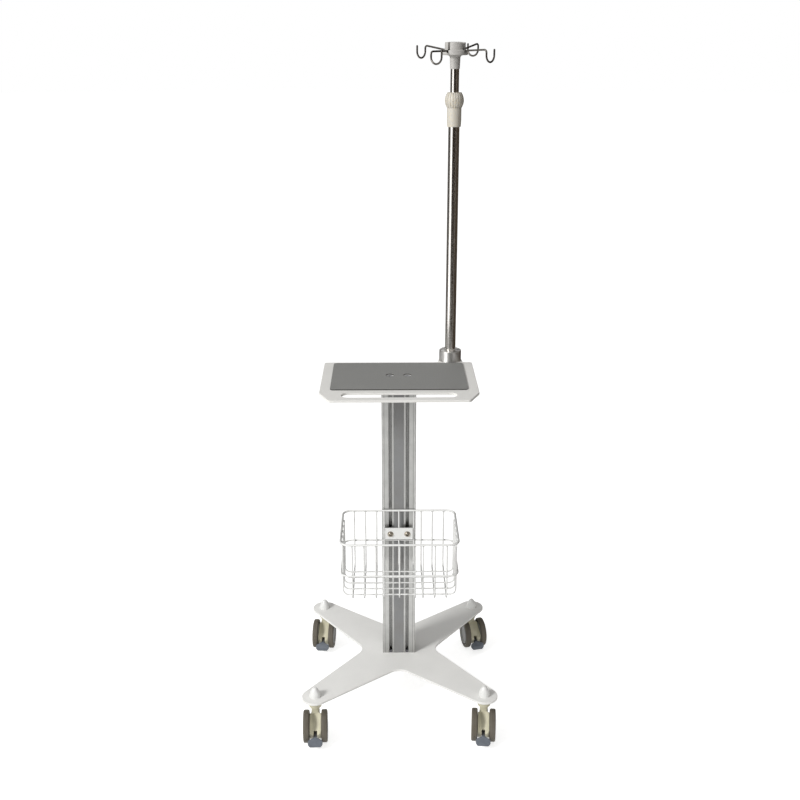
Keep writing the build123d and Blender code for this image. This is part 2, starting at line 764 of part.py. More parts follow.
def basket_screws():
    front = -rim_y + rim_radius + 2 * wire_radius + 2 * weld_gap + bracket_thickness
    nut_back = column_face - slot_lip - slot_shoulder
    head = rod(bracket_screw_head_radius, front, front + bracket_screw_head)
    head -= Pos(0, 0, front + 1.5) * extrude(RegularPolygon(bracket_screw_radius * 0.9, 6), 5)
    screw = head + rod(bracket_screw_radius, nut_back, front)
    laid = Rot(90, 0, 0) * screw
    level = bracket_foot + bracket_screw_height
    return Compound([
        Pos(side * slot_pitch / 2, 0, level) * laid for side in (-1, 1)])


def slot_nuts():
    """Nuts behind the lips of the column's front slots."""
    nut = Box(slot_cavity - 2 * slot_nut_margin, slot_shoulder, slot_nut_height)
    nut -= Rot(90, 0, 0) * Cylinder(bracket_screw_radius + running, slot_shoulder)
    middle = -column_face + slot_lip + slot_shoulder / 2
    level = bracket_foot + bracket_screw_height
    return Compound([
        Pos(side * slot_pitch / 2, middle, level) * nut for side in (-1, 1)])


# ------------------------------------------------------------------ assembly

def assemble():
    """Every piece of the stand by name, with the column's axis on Z."""
    pieces = {
        "base_plate": base_plate(),
        "caster_stems": at_stations(caster_stem()),
        "stem_nuts": at_stations(stem_nut()),
        "nut_caps": at_stations(nut_cap()),
        "column": column(),
        "column_strips": column_strips(),
        "base_bolts": base_bolts(),
        "tray_plate": tray_plate(),
        "tray_mat": tray_mat(),
        "tray_screws": tray_screws(),
        "pole_socket": pole_socket(),
        "socket_screws": socket_screws(),
        "outer_pole": outer_pole(),
        "lock_sleeve": lock_sleeve(),
        "lock_collet": lock_collet(),
        "lock_knob": lock_knob(),
        "inner_pole": inner_pole(),
        "pole_foot": pole_foot(),
        "hook_head": hook_head(),
        "hook_pins": hook_pins(),
        "basket_rim": wire_loop(rim_radius, basket_height, 0),
        "basket_band": wire_loop(band_radius, basket_height - band_drop, rim_radius - band_radius),
        "basket_long_wires": long_wires(),
        "basket_cross_wires": cross_wires(),
        "basket_bracket": basket_bracket(),
        "basket_screws": basket_screws(),
        "slot_nuts": slot_nuts(),
    }
    for index, rise in enumerate(hook_rises):
        pieces[f"hook_{index + 1}"] = at_pole(hook_turn(index) * hook(rise))

    mirror_x = Plane.YZ
    housing = caster_housing()
    axle = caster_axle()
    pedal = brake_pedal()
    right_hub = wheel_hub()
    right_tyre = wheel_tyre()
    left_hub = mirror(right_hub, about=mirror_x)
    left_tyre = mirror(right_tyre, about=mirror_x)
    for name, place in stations():
        heading = Rot(0, 0, casters[name][2])
        pieces[f"{name}_housing"] = place * heading * housing
        pieces[f"{name}_axle"] = place * heading * axle
        pieces[f"{name}_pedal"] = place * heading * pedal
        pieces[f"{name}_hub_left"] = place * heading * left_hub
        pieces[f"{name}_hub_right"] = place * heading * right_hub
        pieces[f"{name}_tyre_left"] = place * heading * left_tyre
        pieces[f"{name}_tyre_right"] = place * heading * right_tyre
    return pieces


def main():
    os.makedirs("parts", exist_ok=True)
    pieces = assemble()
    boxes = [piece.bounding_box() for piece in pieces.values()]
    centre_x = (min(box.min.X for box in boxes) + max(box.max.X for box in boxes)) / 2
    centre_y = (min(box.min.Y for box in boxes) + max(box.max.Y for box in boxes)) / 2
    for name, piece in pieces.items():
        export_step(Pos(-centre_x, -centre_y, 0) * piece, f"parts/{name}.step")
    print("pieces", len(pieces), "column axis at", round(-centre_x, 4), round(-centre_y, 4))


main()
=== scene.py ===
# %% [markdown]
# # A rolling instrument stand
# The stand has a star base on four braked twin-wheel casters, a slotted aluminium column, a wire
# basket, a tray with a handle slot, and a telescopic pole with four folding hooks. The CAD model
# gives every place and size, in metres, and stays fixed. This script dresses it: it adds the
# wire, rubber and moulded detail that the solids leave out, and gives each surface its finish.

# %% Load the fixed model
import json
import math

import bmesh
import bpy
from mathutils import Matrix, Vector


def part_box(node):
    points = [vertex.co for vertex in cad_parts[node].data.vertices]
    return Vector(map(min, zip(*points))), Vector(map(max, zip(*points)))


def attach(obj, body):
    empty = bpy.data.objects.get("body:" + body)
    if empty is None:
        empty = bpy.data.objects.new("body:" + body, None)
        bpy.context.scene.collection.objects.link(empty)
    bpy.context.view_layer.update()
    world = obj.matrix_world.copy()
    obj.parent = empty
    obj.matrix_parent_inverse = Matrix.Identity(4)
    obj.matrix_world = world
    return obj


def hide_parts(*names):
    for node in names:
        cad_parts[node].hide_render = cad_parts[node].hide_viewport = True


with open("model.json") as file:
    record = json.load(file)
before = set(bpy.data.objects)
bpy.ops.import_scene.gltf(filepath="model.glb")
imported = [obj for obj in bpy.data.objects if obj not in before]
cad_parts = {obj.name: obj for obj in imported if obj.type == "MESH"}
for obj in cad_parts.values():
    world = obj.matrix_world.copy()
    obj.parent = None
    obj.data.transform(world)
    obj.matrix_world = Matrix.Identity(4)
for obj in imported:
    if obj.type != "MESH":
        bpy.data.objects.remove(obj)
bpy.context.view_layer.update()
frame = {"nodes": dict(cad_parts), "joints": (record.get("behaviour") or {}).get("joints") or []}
nodes = frame["nodes"]
mm = 0.001

# %% [markdown]
# Sizes come from the model itself. A node's box gives its two corners, so its centre, its reach
# and its levels are simple sums. Naming them once keeps every later cell free of typed places.

# %% Measure the model
def middle(node):
    low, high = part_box(node)
    return (low + high) / 2


def extent(node):
    low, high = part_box(node)
    return high - low


column_at = middle("column")
pole_at = middle("outer_pole")
tray_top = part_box("tray_plate")[1].z
base_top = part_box("base_plate")[1].z
corners = ("front_left", "front_right", "rear_left", "rear_right")
print("column axis", [round(c, 4) for c in column_at.xy], "tray top", round(tray_top, 4))

# %% [markdown]
# Everything that is made here, a camera, a lamp or a mesh, has to be linked to the scene before
# it counts. A bmesh, Blender's editable mesh, has to be written out and freed. These helpers do
# both jobs.

# %% Place an object, keep a mesh
def placed(name, data):
    """A new object with this data, linked to the scene."""
    made = bpy.data.objects.new(name, data)
    bpy.context.scene.collection.objects.link(made)
    return made


def kept_mesh(name, shape, *materials):
    """A plain mesh written from a bmesh, which is freed."""
    mesh = bpy.data.meshes.new(name)
    shape.to_mesh(mesh)
    shape.free()
    for material in materials:
        mesh.materials.append(material)
    return mesh


print("the object helpers are ready")

# %% [markdown]
# The camera stands about two metres in front at head height and tips down. Its place is set from
# the column's axis, and its lens lets the whole stand fill the frame from casters to hooks.

# %% Set the camera
camera_aside = -0.0224
camera_back = 2.2367
camera_height = 1.5588
camera_tip = 0.34047
camera_pan = 0.01133
camera_lens = 46.38

camera_data = bpy.data.cameras.new("stand_camera")
camera_data.lens = camera_lens
camera = placed("stand_camera", camera_data)
camera.location = (column_at.x + camera_aside, column_at.y - camera_back, camera_height)
camera.rotation_euler = (math.pi / 2 - camera_tip, 0, -camera_pan)
bpy.context.scene.camera = camera
bpy.context.scene.view_settings.view_transform = "Standard"
print("camera at", [round(c, 3) for c in camera.location])

# %% [markdown]
# Nearly every cell below adds nodes, to a material or to a piece's geometry. This helper makes
# one node and fills its sockets: a socket given another node's output is linked, and any other
# value is written straight into it. Some nodes have several sockets of one name, so a socket
# may also be given by its number. Sums and vectors are so common that each has its own helper.

# %% Make a node
def add_node(tree, kind, sockets=None, **settings):
    made = tree.nodes.new(kind)
    for key, value in settings.items():
        setattr(made, key, value)
    for key, value in (sockets or {}).items():
        if isinstance(value, bpy.types.NodeSocket):
            tree.links.new(value, made.inputs[key])
        else:
            made.inputs[key].default_value = value
    return made


def sums(tree, operation, *values):
    """The output of one Math node."""
    return add_node(tree, "ShaderNodeMath", dict(enumerate(values)),
                    operation=operation).outputs[0]


def combined(tree, **parts):
    """A vector with the given X, Y or Z parts."""
    return add_node(tree, "ShaderNodeCombineXYZ", parts).outputs[0]


print("the node helpers are ready")

# %% [markdown]
# The floor and the sky are plain white to the camera and to mirrors, which is what the Light
# Path node is for: it tells a shader which kind of ray is asking. The light on the object comes
# only from the lamps and from a quieter sky, so pale surfaces keep their own colour, and the
# floor still darkens where the stand shadows it.

# %% Make the white studio
white = (1, 1, 1, 1)
sky_level = 0.52
floor_colour = (0.72, 0.72, 0.71, 1)
floor_lift = 0.74
floor_radius = 30


def seen_directly(tree):
    """A factor of 1 for camera, mirror and see-through rays, and 0 for the light on things."""
    rays = add_node(tree, "ShaderNodeLightPath").outputs
    direct = sums(tree, "MAXIMUM", rays["Is Camera Ray"], rays["Is Glossy Ray"])
    return sums(tree, "MAXIMUM", direct, rays["Is Transmission Ray"])


def white_sky():
    world = bpy.data.worlds.new("studio_sky")
    world.use_nodes = True
    tree = world.node_tree
    quiet = tree.nodes["Background"]
    quiet.inputs["Color"].default_value = white
    quiet.inputs["Strength"].default_value = sky_level
    bright = add_node(tree, "ShaderNodeBackground", {"Color": white, "Strength": 1.0})
    mix = add_node(tree, "ShaderNodeMixShader",
                   {"Fac": seen_directly(tree), 1: quiet.outputs[0], 2: bright.outputs[0]})
    tree.links.new(mix.outputs[0], tree.nodes["World Output"].inputs["Surface"])
    return world


def shader_of(material):
    """The inputs of the material's Principled shader."""
    return material.node_tree.nodes["Principled BSDF"].inputs


def start_finish(name, roughness, metallic=0.0, specular=0.5):
    """A new material and its tree."""
    material = bpy.data.materials.new(name)
    material.use_nodes = True
    shader = shader_of(material)
    shader["Roughness"].default_value = roughness
    shader["Metallic"].default_value = metallic
    shader["Specular IOR Level"].default_value = specular
    return material, material.node_tree


def matt(name, colour, roughness):
    """A material of one even colour with no gloss, for the studio alone."""
    material = start_finish(name, roughness, specular=0.0)[0]
    shader_of(material)["Base Color"].default_value = colour
    return material


def white_floor():
    material = matt("studio_floor", floor_colour, 0.9)
    tree = material.node_tree
    shader = shader_of(material)
    shader["Emission Color"].default_value = white
    tree.links.new(sums(tree, "MULTIPLY", seen_directly(tree), floor_lift),
                   shader["Emission Strength"])
    return material


def stage_mesh(name, shape, material):
    """A mesh that belongs to the studio and not to the stand."""
    made = placed(name, kept_mesh(name, shape, material))
    return made


bpy.context.scene.world = white_sky()
disc = bmesh.new()
bmesh.ops.create_circle(disc, cap_ends=True, segments=64, radius=floor_radius)
stage_mesh("studio_floor", disc, white_floor())
print("sky level", sky_level, "floor radius", floor_radius)

# %% [markdown]
# One large lamp to the front left is the key: it puts the short soft shadows behind and to the
# right of the caps and the column. A weak lamp on the right, with a narrow beam, fills them.
# Polished steel shows only what surrounds it, and an all-white room would leave it blank, so dark
# cards stand round the stage. The gap on the left shows as a bright strip down the pole, and a
# paler card on the right as a thin line. Ray switches let mirrors see the cards, while the camera
# and the light on the object pass through. One more card does the reverse: mirrors miss it, but
# it keeps the sky's light off the right-hand side, for shape.

# %% Hang the lamps and the cards
def lamp(name, place, target, size, power, spread=180):
    data = bpy.data.lights.new(name, "AREA")
    data.shape = "DISK"
    data.spread = math.radians(spread)
    data.size = size
    data.energy = power
    light = placed(name, data)
    light.location = place
    light.rotation_euler = (Vector(target) - Vector(place)).to_track_quat("-Z", "Y").to_euler()


def dark_card(name, colour, radius, bearings, heights, shades):
    """A curved upright card round the column, between two bearings in degrees from -Y to +X."""
    first, last = bearings
    steps = 12
    shape = bmesh.new()
    rails = []
    for step in range(steps + 1):
        bearing = math.radians(first + (last - first) * step / steps)
        x = column_at.x + radius * math.sin(bearing)
        y = column_at.y - radius * math.cos(bearing)
        rails.append([shape.verts.new((x, y, height)) for height in heights])
    for (low, high), (next_low, next_high) in zip(rails, rails[1:]):
        shape.faces.new((low, next_low, next_high, high))
    card = stage_mesh(name, shape, matt(name, colour, 1.0))
    card.visible_camera = card.visible_shadow = card.visible_transmission = False
    card.visible_diffuse = shades
    card.visible_glossy = not shades


heart = (column_at.x, column_at.y, 0.7)
foot = (column_at.x, column_at.y, 0.1)
lamp("key_lamp", (-3.3, -2.6, 3.1), heart, 1.3, 168)
lamp("fill_lamp", (1.9, -2.5, 0.6), foot, 1.2, 1.5, spread=46)
brown = (0.064, 0.050, 0.038, 1)
near, far = 1.3, 2.6
full_height = (0.05, 3.0)
cards = {"card_front": (brown, near, (-28, 18), (0.42, 3.0)),
         "card_front_right": (brown, near, (18, 54), full_height),
         "card_line": ((0.20, 0.18, 0.16, 1), near, (54, 62), full_height),
         "card_right": (brown, near, (62, 168), full_height),
         "card_left": ((0.22, 0.21, 0.20, 1), near, (-178, -80), (0.35, 2.4)),
         "card_shade": (brown, far, (28, 150), (0.02, 3.0))}
for name, sizes in cards.items():
    dark_card(name, *sizes, shades=name == "card_shade")
print("two lamps and", len(cards), "cards")

# %% [markdown]
# ## Finishes
# A finish is a recipe of nodes: patterns give the colour a little variety, break up the gloss and
# raise a fine relief. All patterns read Object coordinates, which are metres on the stand, so a
# grain has one true size everywhere. A Mapping node of the texture kind moves the pattern's own
# centre to a point of the stand and sets the length of its unit, here in millimetres.

# %% Patterns, reliefs and colours
def pattern_space(tree, centre, stretch=(1, 1, 1)):
    """Object coordinates in millimetres from a centre, drawn out along the long stretches."""
    seen = add_node(tree, "ShaderNodeTexCoord").outputs["Object"]
    unit = tuple(mm * along for along in stretch)
    return add_node(tree, "ShaderNodeMapping",
                    {"Vector": seen, "Location": tuple(centre), "Scale": unit},
                    vector_type="TEXTURE").outputs["Vector"]


def speckle(tree, space, size, detail=2.0):
    """Soft noise from 0 to 1 whose blots are about size millimetres across."""
    return add_node(tree, "ShaderNodeTexNoise",
                    {"Vector": space, "Scale": 1 / size, "Detail": detail}).outputs["Fac"]


def between(tree, pattern, low, high, start=0.35, end=0.65):
    """The pattern's middle range spread from low to high."""
    return add_node(tree, "ShaderNodeMapRange",
                    {"Value": pattern, "From Min": start, "From Max": end,
                     "To Min": low, "To Max": high}).outputs["Result"]


def two_tone(tree, pattern, first, second, start=0.35, end=0.65):
    """A colour that goes from the first to the second across the pattern's middle range."""
    ramp = add_node(tree, "ShaderNodeValToRGB", {"Fac": pattern})
    for stop, place, colour in zip(ramp.color_ramp.elements, (start, end), (first, second)):
        stop.position = place
        stop.color = (*colour, 1)
    return ramp.outputs["Color"]


def relief(tree, height, depth, under=None):
    """A bump of the given depth in millimetres, laid over another relief if there is one."""
    sockets = {"Height": height, "Distance": depth * mm, "Strength": 1.0}
    if under is not None:
        sockets["Normal"] = under
    return add_node(tree, "ShaderNodeBump", sockets).outputs["Normal"]


def soft_edges(tree, radius):
    """The surface's direction with its sharp edges eased to a radius in millimetres."""
    return add_node(tree, "ShaderNodeBevel", {"Radius": radius * mm}, samples=4).outputs["Normal"]


def painted_crevice_shade(tree, reach, darkest):
    """A factor for the colour as painted shade: 1 in the open, and less in slots and corners,
    where less light reaches. It looks as far as reach, in millimetres."""
    open_sky = add_node(tree, "ShaderNodeAmbientOcclusion", {"Distance": reach * mm},
                        samples=6, only_local=True).outputs["AO"]
    return between(tree, open_sky, darkest, 1.0, 0.15, 0.75)


def mixed(tree, amount, first, second, blend="MIX"):
    return add_node(tree, "ShaderNodeMix", {0: amount, 6: first, 7: second},
                    data_type="RGBA", blend_type=blend).outputs[2]


def multiplied(tree, first, second):
    return mixed(tree, 1.0, first, second, "MULTIPLY")


def shade(colour, by):
    return tuple(min(1.0, channel * by) for channel in colour)


finishes = {}


def keep_finish(name, material, colour, gloss, direction):
    """Link the patterns to the material's shader, and keep it under its name."""
    for title, source in (("Base Color", colour), ("Roughness", gloss), ("Normal", direction)):
        material.node_tree.links.new(source, shader_of(material)[title])
    finishes[name] = material


def recolour(name, change):
    """Pass the colour of a kept finish through one more step, change(tree, colour)."""
    tree = finishes[name].node_tree
    painted = shader_of(finishes[name])["Base Color"]
    tree.links.new(change(tree, painted.links[0].from_socket), painted)


print("finish helpers are ready")

# %% [markdown]
# The base, the tray and the basket are powder coated. The powder melts into a glossy skin with a
# slow ripple, called orange peel, a few millimetres across. A flat white would look like paper,
# so broad noise ripples the gloss, fine noise dusts the colour, and the cut edges are eased,
# because the coat is never sharp. Seen against white, a thin wire reads by the shade on its
# flanks. A Layer Weight node tells how far a face turns away from the eye, and paints shade on
# the wire there.

# %% Powder coat
def powder_coat(name, colour, centre, edge, peel=2.6):
    material, tree = start_finish(name, roughness=0.5, specular=0.3)
    space = pattern_space(tree, centre)
    broad = speckle(tree, space, 60, 3)
    fine = speckle(tree, space, 0.9, 2)
    ripple = speckle(tree, space, peel, 1)
    tint = two_tone(tree, broad, shade(colour, 0.972), colour)
    dust = two_tone(tree, fine, (0.955, 0.955, 0.95), (1, 1, 1), 0.3, 0.6)
    peeled = relief(tree, ripple, 0.05, soft_edges(tree, edge))
    keep_finish(name, material, multiplied(tree, tint, dust), between(tree, fine, 0.44, 0.56),
                relief(tree, fine, 0.012, peeled))


def painted_flank_shade(tree, colour):
    away = add_node(tree, "ShaderNodeLayerWeight", {"Blend": 0.5}).outputs["Facing"]
    return multiplied(tree, colour, between(tree, away, 1.0, 0.4, 0.2, 0.9))


powder_coat("white_enamel", (0.87, 0.865, 0.84), column_at, 0.8)
powder_coat("white_wire", (0.86, 0.86, 0.845), middle("basket_rim"), 0.4, 1.4)
# Painted shade on the wire's flanks.
recolour("white_wire", painted_flank_shade)
# A greyer copy of the enamel: painted shade for the tray.
powder_coat("shaded_tray_enamel", (0.815, 0.805, 0.775), middle("tray_plate"), 0.8)
print("powder coats", sorted(finishes))

# %% [markdown]
# Moulded plastic copies its mould's skin: a fine sparked grain, a slight unevenness of colour
# where the melt cooled, and a gloss that changes from patch to patch where hands and cloths have
# rubbed it. One recipe with a few sizes serves the caps, the pole's lock, the hook carrier and
# the casters.

# %% Moulded plastic
def moulded(name, colour, centre, grain=0.35, depth=0.02, gloss=0.42, edge=0.5, unevenness=0.06,
            crevice_shade=1.0):
    material, tree = start_finish(name, roughness=gloss)
    space = pattern_space(tree, centre)
    flow = speckle(tree, space, 14, 3)
    skin = speckle(tree, space, grain, 2)
    rubbed = speckle(tree, space, 5, 2)
    tint = two_tone(tree, flow, shade(colour, 1 - unevenness), colour)
    pores = two_tone(tree, skin, shade((1, 1, 1), 1 - unevenness * 0.8), (1, 1, 1), 0.32, 0.55)
    colour_now = multiplied(tree, tint, pores)
    # Painted shade: the colour darkens in hollows and corners.
    if crevice_shade < 1:
        colour_now = multiplied(tree, colour_now, painted_crevice_shade(tree, 8, crevice_shade))
    keep_finish(name, material, colour_now, between(tree, rubbed, gloss - 0.07, gloss + 0.09),
                relief(tree, skin, depth, soft_edges(tree, edge)))


moulded("white_plastic", (0.82, 0.82, 0.80), column_at, gloss=0.3)
moulded("guide_plastic", (0.10, 0.10, 0.11), pole_at)
moulded("head_plastic", (0.50, 0.485, 0.46), middle("hook_head"), grain=0.5, depth=0.01,
        gloss=0.45, unevenness=0.03)
# The casters' housings take painted shade in their hollows.
moulded("cream_plastic", (0.70, 0.665, 0.50), column_at, grain=0.5, gloss=0.45,
        unevenness=0.08, crevice_shade=0.55)
moulded("hub_plastic", (0.27, 0.27, 0.26), column_at, gloss=0.5)
moulded("slate_plastic", (0.135, 0.152, 0.178), column_at, grain=0.8, depth=0.06,
        gloss=0.55, unevenness=0.16)
print("moulded finishes", sorted(finishes))

# %% [markdown]
# The sleeve and the knob of the pole's lock have aged to ivory, with faint yellow freckles. The
# freckles are a second noise laid over the moulded recipe, which shows how one finish can start
# from another: the base colour's link is taken up and passed through one more Mix node.

# %% Aged ivory
yellow_stain = (0.70, 0.58, 0.37, 1)


def freckled(tree, colour):
    freckles = speckle(tree, pattern_space(tree, pole_at), 3.2, 4)
    return mixed(tree, between(tree, freckles, 0.0, 0.55, 0.50, 0.68), colour, yellow_stain)


moulded("ivory_plastic", (0.63, 0.60, 0.535), pole_at, grain=0.5, gloss=0.36)
recolour("ivory_plastic", freckled)
print("ivory ready")

# %% [markdown]
# Metal is mostly reflection, so its character is in the roughness. The die that a tube or a
# column is drawn through leaves hair-fine lines along its length: noise squeezed in one direction
# and drawn out in the other makes them. A tube is then polished round and round, which smears
# what it mirrors up and down but leaves it sharp sideways. The shader's Anisotropic input does
# that, along the direction given to its Tangent.

# %% Drawn and polished metal
def smear_upwards(name, amount):
    """Blur the reflections of a kept finish along Z, and keep them sharp sideways."""
    tree = finishes[name].node_tree
    shader = shader_of(finishes[name])
    shader["Anisotropic"].default_value = amount
    tree.links.new(combined(tree, Z=1.0), shader["Tangent"])


def drawn_metal(name, colour, centre, roughness, line=0.12, run=60, depth=0.004, spread=0.06,
                edge=0.3, cloud=0.10, slot_shade=0.0):
    material, tree = start_finish(name, roughness, metallic=1.0)
    lines = speckle(tree, pattern_space(tree, centre, (1, 1, run)), line, 2)
    clouds = speckle(tree, pattern_space(tree, centre), 22, 3)
    bright = two_tone(tree, clouds, shade(colour, 1 - cloud), colour)
    hair = two_tone(tree, lines, (0.9, 0.9, 0.9), (1, 1, 1), 0.3, 0.7)
    colour_now = multiplied(tree, bright, hair)
    # Painted shade: the colour darkens in slots and key holes.
    if slot_shade:
        colour_now = multiplied(tree, colour_now, painted_crevice_shade(tree, 14, slot_shade))
    eased = soft_edges(tree, edge)
    keep_finish(name, material, colour_now,
                between(tree, lines, roughness - spread, roughness + spread),
                relief(tree, lines, depth, eased) if depth else eased)


drawn_metal("stainless_tube", (0.87, 0.84, 0.80), pole_at, 0.17, line=0.8, run=300,
            spread=0.01, depth=0, cloud=0.05)
smear_upwards("stainless_tube", 0.85)
drawn_metal("stainless_wire", (0.13, 0.12, 0.108), pole_at, 0.32, run=1, depth=0, cloud=0.2)
# The column takes painted shade in its slots.
drawn_metal("anodised_aluminium", (0.65, 0.65, 0.635), column_at, 0.48, line=0.5, run=400,
            depth=0.02, spread=0.08, edge=0.4, slot_shade=0.27)
drawn_metal("zinc_steel", (0.55, 0.56, 0.58), column_at, 0.36, run=4)
drawn_metal("black_steel", (0.09, 0.09, 0.095), pole_at, 0.4, run=3)
# The basket's screws take a little painted shade round their key holes.
drawn_metal("nickel_screw", (0.46, 0.41, 0.34), middle("basket_screws"), 0.3, run=3, slot_shade=0.05)
print("finishes so far", sorted(finishes))

# %% [markdown]
# The extrusion's die left a shallow line near each edge of the column's wide faces. Its inner
# flank lies in shade and its outer flank catches the light, so a Color Ramp across the column's
# width draws a dark band beside a pale one. Its stops are in millimetres from the middle.

# %% Draw the column's edge lines
plain_level = 0.84
edge_levels = ((32.8, plain_level), (33.4, 0.68), (35.0, 0.68), (35.8, 1.0), (37.6, 1.0),
               (38.0, 0.66), (39.2, 0.66), (39.4, plain_level))
ramp_start, ramp_end = 30.0, 40.0


def edge_lines(tree, colour):
    place = add_node(tree, "ShaderNodeSeparateXYZ", {0: pattern_space(tree, column_at)})
    aside = sums(tree, "ABSOLUTE", place.outputs["X"])
    ramp = add_node(tree, "ShaderNodeValToRGB",
                    {"Fac": between(tree, aside, 0.0, 1.0, ramp_start, ramp_end)})
    stops = ramp.color_ramp.elements
    stops.remove(stops[1])
    stops[0].color = (plain_level, plain_level, plain_level, 1)
    for distance, level in edge_levels:
        stop = stops.new((distance - ramp_start) / (ramp_end - ramp_start))
        stop.color = (level, level, level, 1)
    return multiplied(tree, colour, ramp.outputs["Color"])


recolour("anodised_aluminium", edge_lines)
print("edge line stops", len(edge_levels))

# %% [markdown]
# The pole's foot was turned on a lathe. The tool leaves a fine spiral that reads as rings round
# the axis. A Wave texture in rings mode on the Mapping node's centred space makes them at the
# true pitch, a second one in bands mode cuts lines round its wall, and noise breaks their
# evenness.

# %% Turned aluminium
wave_length = 0.314         # at scale 1, a Wave texture repeats after this many units


def wave(tree, space, pitch, **direction):
    """Even lines a pitch of millimetres apart."""
    return add_node(tree, "ShaderNodeTexWave",
                    {"Vector": space, "Scale": wave_length / pitch, "Distortion": 0.6,
                     "Detail": 2.0}, **direction).outputs["Fac"]


def turned_metal(name, colour, centre, roughness, pitch=0.4):
    material, tree = start_finish(name, roughness, metallic=1.0)
    space = pattern_space(tree, centre)
    rings = wave(tree, space, pitch, wave_type="RINGS", rings_direction="Z")
    bands = wave(tree, space, pitch, wave_type="BANDS", bands_direction="Z")
    clouds = speckle(tree, space, 9, 3)
    faced = relief(tree, rings, 0.02, soft_edges(tree, 0.5))
    keep_finish(name, material, two_tone(tree, clouds, shade(colour, 0.9), colour),
                between(tree, rings, roughness - 0.05, roughness + 0.06, 0, 1),
                relief(tree, bands, 0.006, faced))


turned_metal("turned_aluminium", (0.80, 0.79, 0.77), middle("pole_socket"), 0.58)
smear_upwards("turned_aluminium", 0.8)
print("turned aluminium ready")

# %% [markdown]
# Rubber is dull and never quite even. The tray's mat is pebbled, so a Voronoi texture gives it
# rounded bumps, and painted shade darkens it wherever it doesn't face up, on its edge and
# underside. The tyres and the column's cover strips have a finer grain, and broad noise lays pale
# dust on them.

# %% Rubber
def rubber(name, colour, centre, pebble, depth, dust, gloss=0.7, edge=0.4):
    material, tree = start_finish(name, roughness=gloss, specular=0.35)
    space = pattern_space(tree, centre)
    broad = speckle(tree, space, 30, 4)
    fine = speckle(tree, space, 0.8, 3)
    pebbles = add_node(tree, "ShaderNodeTexVoronoi",
                       {"Vector": space, "Scale": 1 / pebble, "Smoothness": 0.6},
                       feature="SMOOTH_F1").outputs["Distance"]
    tint = two_tone(tree, broad, colour, dust, 0.3, 0.75)
    grit = two_tone(tree, fine, (0.86, 0.86, 0.86), (1, 1, 1), 0.3, 0.6)
    raised = relief(tree, pebbles, -depth, soft_edges(tree, edge))
    keep_finish(name, material, multiplied(tree, tint, grit),
                between(tree, broad, gloss - 0.08, gloss + 0.08),
                relief(tree, fine, depth * 0.3, raised))


# A near-black for painted shade on the mat's edge and underside.
painted_edge_shade = (0.035, 0.034, 0.032, 1)


def painted_side_shade(tree, colour):
    """A near-black painted shade wherever the sheet doesn't face up: on its edge and underside.
    """
    normal = add_node(tree, "ShaderNodeNewGeometry").outputs["True Normal"]
    rise = add_node(tree, "ShaderNodeSeparateXYZ", {0: normal}).outputs["Z"]
    return mixed(tree, between(tree, rise, 0.0, 1.0, 0.4, 0.8), painted_edge_shade, colour)


rubber("mat_rubber", (0.245, 0.245, 0.235), middle("tray_mat"), 1.1, 0.12,
       (0.275, 0.275, 0.265))
recolour("mat_rubber", painted_side_shade)
rubber("tread_rubber", (0.115, 0.100, 0.074), column_at, 0.9, 0.03, (0.150, 0.134, 0.112),
       gloss=0.6)
rubber("grey_strip", (0.24, 0.237, 0.233), column_at, 0.8, 0.03, (0.26, 0.265, 0.27),
       gloss=0.6, edge=0.2)
print("rubbers ready")

# %% [markdown]
# The record names a material slot for each CAD node, and the imported node carries a plain
# material of that name. Giving each node the finish of its own slot dresses the whole model at
# once, and a node that is replaced later loses nothing by it. The tray takes a greyer copy of the
# base's enamel, which is painted shade, so that copy is set on its own.

# %% Dress the CAD nodes
for cad_name, cad_node in nodes.items():
    for holder in cad_node.material_slots:
        key = holder.material.name.split(".")[0] if holder.material else ""
        if key in finishes:
            holder.material = finishes[key]
        else:
            print("no finish for", cad_name, key)
nodes["tray_plate"].material_slots[0].material = finishes["shaded_tray_enamel"]
print("dressed", len(nodes), "CAD nodes in", len(finishes), "finishes")

# %% [markdown]
# ## Pieces
# A Geometry Nodes tree is a recipe that Blender runs on an object. Each tree here has a named
# input for every size, so one recipe makes several pieces. The tree ends by making every copy
# real and giving it its finish, and the result is kept as a plain mesh, with no modifier left.

# %% Start, end and run a tree
def geometry(tree, kind, sockets=None, **settings):
    """The first output of a new geometry node."""
    return add_node(tree, "GeometryNode" + kind, sockets, **settings).outputs[0]


def start_tree(name, sizes):
    """A tree with a named input for each size, and what those inputs give."""
    tree = bpy.data.node_groups.new(name, "GeometryNodeTree")

    def socket(title, kind, way="INPUT"):
        return tree.interface.new_socket(name=title, in_out=way, socket_type="NodeSocket" + kind)

    kinds = {int: "Int", float: "Float", tuple: "Vector"}
    socket("Geometry", "Geometry", "OUTPUT")
    socket("Geometry", "Geometry")
    for size, usual in sizes.items():
        socket(size, kinds[type(usual)]).default_value = usual
    socket("Part", "Object")
    socket("Finish", "Material")
    return tree, add_node(tree, "NodeGroupInput").outputs


def end_tree(tree, shape, given):
    smooth = geometry(tree, "SetShadeSmooth", {0: shape})
    real = geometry(tree, "RealizeInstances", {0: smooth})
    dressed = geometry(tree, "SetMaterial", {"Geometry": real, "Material": given["Finish"]})
    add_node(tree, "NodeGroupOutput", {0: dressed})
    return tree


def flattened(piece):
    """The piece as a plain mesh, with its modifiers applied and gone."""
    graph = bpy.context.evaluated_depsgraph_get()
    plain = bpy.data.meshes.new_from_object(piece.evaluated_get(graph))
    piece.modifiers.clear()
    piece.data = plain
    return piece


